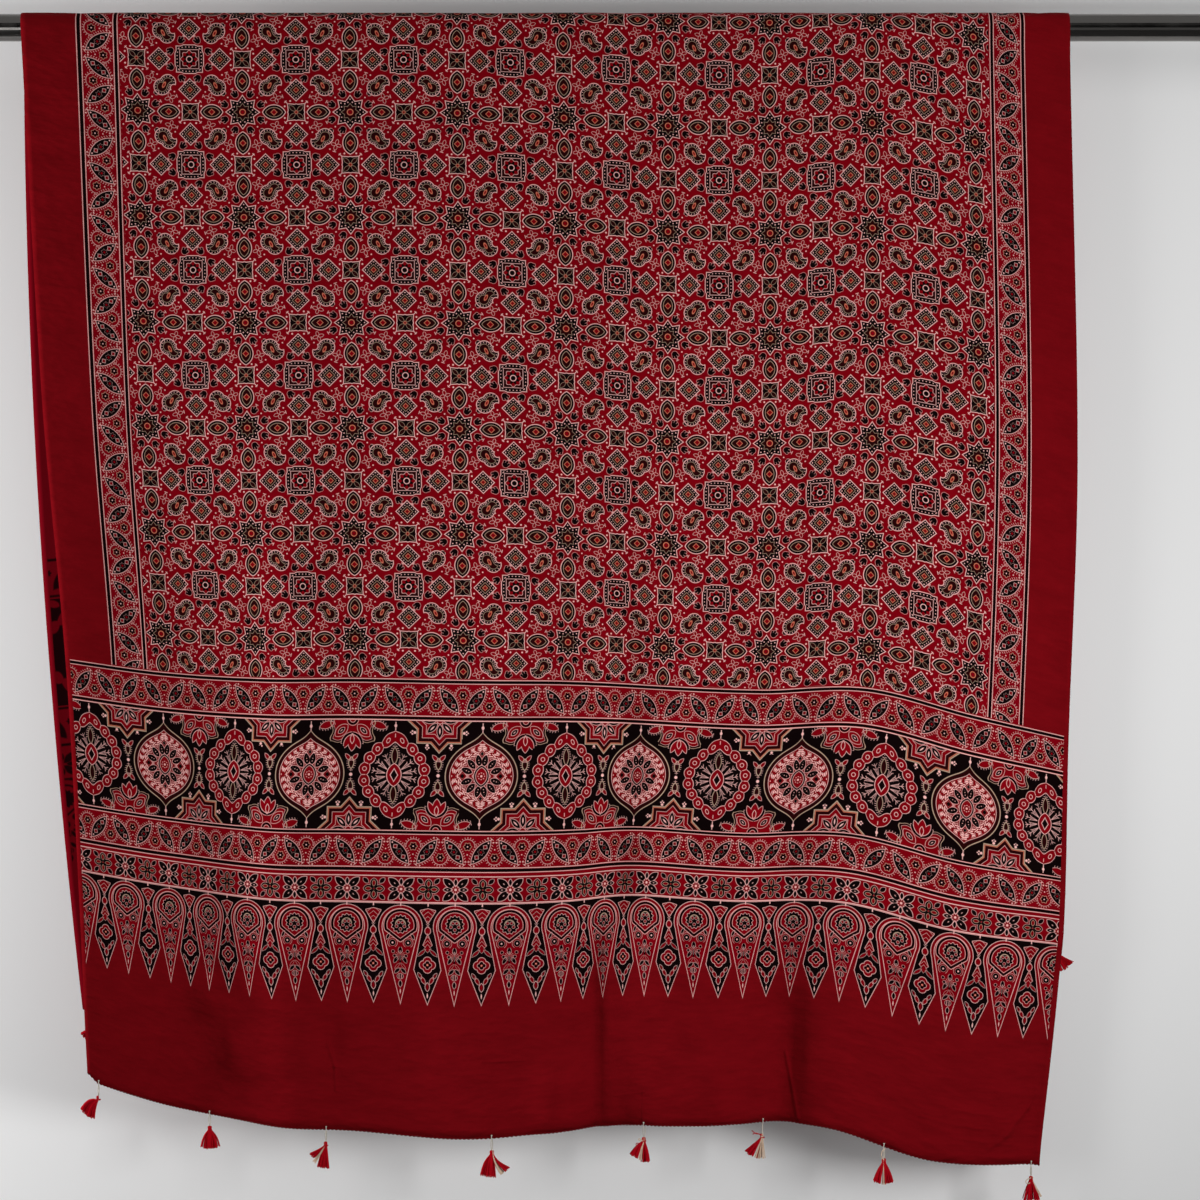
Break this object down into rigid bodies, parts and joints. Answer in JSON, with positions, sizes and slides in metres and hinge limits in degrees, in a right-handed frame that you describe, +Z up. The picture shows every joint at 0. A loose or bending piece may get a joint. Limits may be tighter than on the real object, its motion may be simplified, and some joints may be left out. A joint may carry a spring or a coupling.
{
  "type": "ajrakh cloth on a hanging rail",
  "caption": "Long printed ajrakh cloth folded over a plain round rail, front drop longer than the back, with small tassels on thread ties along both hems.",
  "frame": {"origin": "centre of the rail's left end face", "axes": "+X along the rail, +Z up, +Y from the cloth's front to its back"},
  "size_m": [1.4, 0.098, 1.2234],
  "materials": {
    "rail_chrome": "polished chrome on steel tube",
    "printed_cloth": "soft block-printed cloth with a faint sheen, madder red ground with black and cream pattern",
    "tassel_yarn": "loose red yarn, some strands cream",
    "tie_thread": "off-white cotton thread"
  },
  "bodies": {
    "root": {"rail": "rail_chrome", "cloth": "printed_cloth", "tassel_front_1": "tassel_yarn", "tassel_front_2": "tassel_yarn", "tassel_front_3": "tassel_yarn", "tassel_front_4": "tassel_yarn", "tassel_front_5": "tassel_yarn", "tassel_front_6": "tassel_yarn", "tassel_front_7": "tassel_yarn", "tassel_front_8": "tassel_yarn", "tassel_back_1": "tassel_yarn", "tassel_back_2": "tassel_yarn", "tassel_back_3": "tassel_yarn", "tassel_back_4": "tassel_yarn", "tassel_back_5": "tassel_yarn", "tassel_back_6": "tassel_yarn", "tassel_back_7": "tassel_yarn", "tassel_back_8": "tassel_yarn", "tie_front_1": "tie_thread", "tie_front_2": "tie_thread", "tie_front_3": "tie_thread", "tie_front_4": "tie_thread", "tie_front_5": "tie_thread", "tie_front_6": "tie_thread", "tie_front_7": "tie_thread", "tie_front_8": "tie_thread", "tie_back_1": "tie_thread", "tie_back_2": "tie_thread", "tie_back_3": "tie_thread", "tie_back_4": "tie_thread", "tie_back_5": "tie_thread", "tie_back_6": "tie_thread", "tie_back_7": "tie_thread", "tie_back_8": "tie_thread"}
  },
  "joints": []
}
